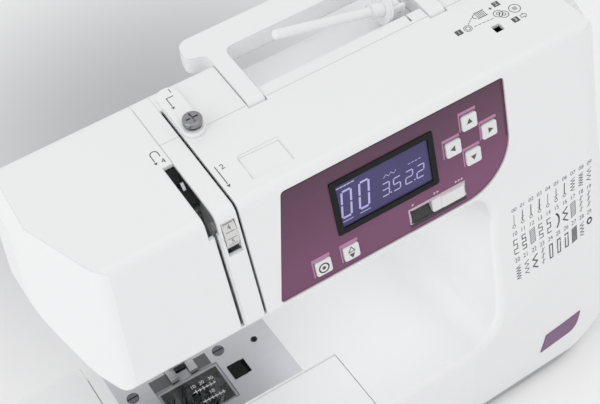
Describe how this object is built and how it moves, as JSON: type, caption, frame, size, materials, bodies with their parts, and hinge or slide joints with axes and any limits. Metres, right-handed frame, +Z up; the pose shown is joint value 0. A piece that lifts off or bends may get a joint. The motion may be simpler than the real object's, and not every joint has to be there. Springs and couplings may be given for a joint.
{
  "type": "sewing machine",
  "caption": "Household sewing machine with a free arm, a slanted control panel with display and keys, a folding handle, a tilting spool pin and a horizontal hook.",
  "frame": {"origin": "on the table under the middle of the machine's bounding box", "axes": "+X along the machine to the handwheel, +Y to the back, +Z up"},
  "size_m": [0.448, 0.1985, 0.293],
  "materials": {
    "white_plastic": "gloss white moulding",
    "key_plastic": "satin white key",
    "plum_plastic": "satin plum moulding",
    "black_plastic": "gloss black moulding",
    "screen": "indigo display with a glossy face",
    "clear_plastic": "clear moulding",
    "grey_plastic": "fine-textured grey moulding",
    "lamp_plastic": "milky lens",
    "plate_steel": "brushed",
    "steel": "ground and polished",
    "stud_nickel": "dark nickel plate",
    "hook_steel": "darkened steel",
    "frame_alloy": "as cast",
    "motor_paint": "black paint",
    "board": "green circuit board",
    "rubber": "black rubber"
  },
  "bodies": {
    "machine": {"base_plate": "grey_plastic", "base_screws": "steel", "bed": "white_plastic", "bobbin_holder": "black_plastic", "control_board": "board", "control_panel": "plum_plastic", "face_cover": "white_plastic", "feet": "rubber", "frame": "frame_alloy", "front_cover": "white_plastic", "guide_stud": "stud_nickel", "handle_pins": "steel", "lamp": "lamp_plastic", "lcd_bezel": "black_plastic", "lcd_screen": "screen", "motor": "motor_paint", "motor_belt": "rubber", "needle_plate": "plate_steel", "plate_screws": "steel", "rear_cover": "white_plastic", "socket_block": "black_plastic", "thread_guide": "white_plastic", "thread_strip": "white_plastic", "timing_belt": "rubber", "winder_stop": "white_plastic"},
    "carry_handle": {"handle": "white_plastic"},
    "spool_pin": {"spool_pin": "white_plastic"},
    "tension_dial": {"tension_dial": "white_plastic"},
    "speed_slider": {"speed_slider": "key_plastic"},
    "main_shaft": {"main_shaft": "steel", "handwheel": "white_plastic"},
    "lower_shaft": {"lower_shaft": "steel"},
    "hook": {"hook": "hook_steel"},
    "motor_rotor": {"motor_rotor": "steel"},
    "take_up_lever": {"take_up_lever": "steel"},
    "needle_bar": {"needle_bar": "steel", "needle_clamp": "steel", "clamp_screw": "steel", "needle": "steel"},
    "presser_lever": {"presser_lever": "black_plastic"},
    "presser_bar": {"presser_bar": "steel", "foot_holder": "steel"},
    "presser_foot": {"presser_foot": "steel"},
    "feed_dog": {"feed_dog": "steel"},
    "feed_drop_lever": {"feed_drop_lever": "black_plastic"},
    "bobbin": {"bobbin": "clear_plastic"},
    "bobbin_cover": {"bobbin_cover": "clear_plastic"},
    "cover_release": {"cover_release": "black_plastic"},
    "extension_table": {"extension_table": "white_plastic"},
    "accessory_flap": {"accessory_flap": "white_plastic"},
    "winder_carriage": {"winder_carriage": "white_plastic"},
    "winder_spindle": {"winder_spindle": "white_plastic"},
    "power_switch": {"power_switch": "black_plastic"},
    "button_up": {"button_up": "key_plastic"},
    "button_down": {"button_down": "key_plastic"},
    "button_left": {"button_left": "key_plastic"},
    "button_right": {"button_right": "key_plastic"},
    "button_lock": {"button_lock": "key_plastic"},
    "button_needle": {"button_needle": "key_plastic"}
  },
  "joints": [
    {"name": "handle_fold", "type": "hinge", "parent": "machine", "child": "carry_handle", "pos_m": [0.0582, 0.02977, 0.2611], "axis": [1, 0, 0], "range_deg": [0, 95]},
    {"name": "spool_pin_lift", "type": "hinge", "parent": "machine", "child": "spool_pin", "pos_m": [0.1085, 0.0479, 0.26619], "axis": [0, 0.9963, 0.0863], "range_deg": [0, 45]},
    {"name": "tension_turn", "type": "hinge", "parent": "machine", "child": "tension_dial", "pos_m": [-0.07075, -0.0285, 0.24], "axis": [1, 0, 0], "range_deg": [-130, 130]},
    {"name": "speed_slide", "type": "slide", "parent": "machine", "child": "speed_slider", "axis": [-1, 0, 0], "range_m": [0, 0.0168]},
    {"name": "shaft_turn", "type": "hinge", "parent": "machine", "child": "main_shaft", "pos_m": [0, 0.014, 0.212], "axis": [1, 0, 0], "continuous": true},
    {"name": "lower_shaft_turn", "type": "hinge", "parent": "machine", "child": "lower_shaft", "pos_m": [0, 0.006, 0.048], "axis": [1, 0, 0], "continuous": true},
    {"name": "hook_turn", "type": "hinge", "parent": "machine", "child": "hook", "pos_m": [-0.1105, -0.01, 0.062], "axis": [0, 0, 1], "continuous": true},
    {"name": "motor_turn", "type": "hinge", "parent": "machine", "child": "motor_rotor", "pos_m": [0.1595, 0.028, 0.048], "axis": [1, 0, 0], "continuous": true},
    {"name": "needle_stroke", "type": "slide", "parent": "machine", "child": "needle_bar", "axis": [0, 0, 1], "range_m": [-0.03, 0]},
    {"name": "take_up_swing", "type": "hinge", "parent": "machine", "child": "take_up_lever", "pos_m": [-0.08, 0.026, 0.232], "axis": [1, 0, 0], "range_deg": [0, 45]},
    {"name": "presser_lever_lift", "type": "hinge", "parent": "machine", "child": "presser_lever", "pos_m": [-0.1015, 0.053, 0.182], "axis": [1, 0, 0], "range_deg": [0, 30]},
    {"name": "presser_lift", "type": "slide", "parent": "machine", "child": "presser_bar", "axis": [0, 0, 1], "range_m": [0, 0.005]},
    {"name": "foot_tilt", "type": "hinge", "parent": "presser_bar", "child": "presser_foot", "pos_m": [-0.1105, 0.022, 0.091], "axis": [-1, 0, 0], "range_deg": [0, 5]},
    {"name": "feed_drop", "type": "slide", "parent": "machine", "child": "feed_dog", "axis": [0, 0, 1], "range_m": [-0.003, 0]},
    {"name": "feed_lever_slide", "type": "slide", "parent": "machine", "child": "feed_drop_lever", "axis": [1, 0, 0], "range_m": [0, 0.014]},
    {"name": "bobbin_turn", "type": "hinge", "parent": "machine", "child": "bobbin", "pos_m": [-0.1105, -0.01, 0.07], "axis": [0, 0, 1], "continuous": true},
    {"name": "cover_lift", "type": "slide", "parent": "machine", "child": "bobbin_cover", "axis": [0, 0, 1], "range_m": [0, 0.04]},
    {"name": "release_slide", "type": "slide", "parent": "machine", "child": "cover_release", "axis": [1, 0, 0], "range_m": [0, 0.003], "stiffness_N_per_m": 200},
    {"name": "table_slide", "type": "slide", "parent": "machine", "child": "extension_table", "axis": [-1, 0, 0], "range_m": [0, 0.15]},
    {"name": "flap_open", "type": "hinge", "parent": "extension_table", "child": "accessory_flap", "pos_m": [-0.1105, -0.09075, 0.02199], "axis": [1, 0, 0], "range_deg": [0, 75]},
    {"name": "winder_shift", "type": "slide", "parent": "machine", "child": "winder_carriage", "axis": [1, 0, 0], "range_m": [0, 0.004]},
    {"name": "winder_turn", "type": "hinge", "parent": "winder_carriage", "child": "winder_spindle", "pos_m": [0.1515, 0.03581, 0.26665], "axis": [0, -0.0863, 0.9963], "continuous": true},
    {"name": "power_rock", "type": "hinge", "parent": "machine", "child": "power_switch", "pos_m": [0.206, 0.005, 0.133], "axis": [0, 1, 0], "range_deg": [0, 12]},
    {"name": "press_up", "type": "slide", "parent": "machine", "child": "button_up", "axis": [0, 0.9929, -0.1191], "range_m": [0, 0.0012], "stiffness_N_per_m": 600},
    {"name": "press_down", "type": "slide", "parent": "machine", "child": "button_down", "axis": [0, 0.9929, -0.1191], "range_m": [0, 0.0012], "stiffness_N_per_m": 600},
    {"name": "press_left", "type": "slide", "parent": "machine", "child": "button_left", "axis": [0, 0.9929, -0.1191], "range_m": [0, 0.0012], "stiffness_N_per_m": 600},
    {"name": "press_right", "type": "slide", "parent": "machine", "child": "button_right", "axis": [0, 0.9929, -0.1191], "range_m": [0, 0.0012], "stiffness_N_per_m": 600},
    {"name": "press_lock", "type": "slide", "parent": "machine", "child": "button_lock", "axis": [0, 0.9929, -0.1191], "range_m": [0, 0.0012], "stiffness_N_per_m": 600},
    {"name": "press_needle", "type": "slide", "parent": "machine", "child": "button_needle", "axis": [0, 0.9929, -0.1191], "range_m": [0, 0.0012], "stiffness_N_per_m": 600}
  ],
  "couplings": [
    {"joint": "motor_turn", "follows": "shaft_turn", "ratio": 6},
    {"joint": "lower_shaft_turn", "follows": "shaft_turn", "ratio": 1},
    {"joint": "hook_turn", "follows": "shaft_turn", "ratio": 2},
    {"joint": "take_up_swing", "follows": "needle_stroke", "rad_per_m": -26.18},
    {"joint": "presser_lever_lift", "follows": "presser_lift", "rad_per_m": 104.51},
    {"joint": "feed_lever_slide", "follows": "feed_drop", "ratio": -4.6633}
  ]
}
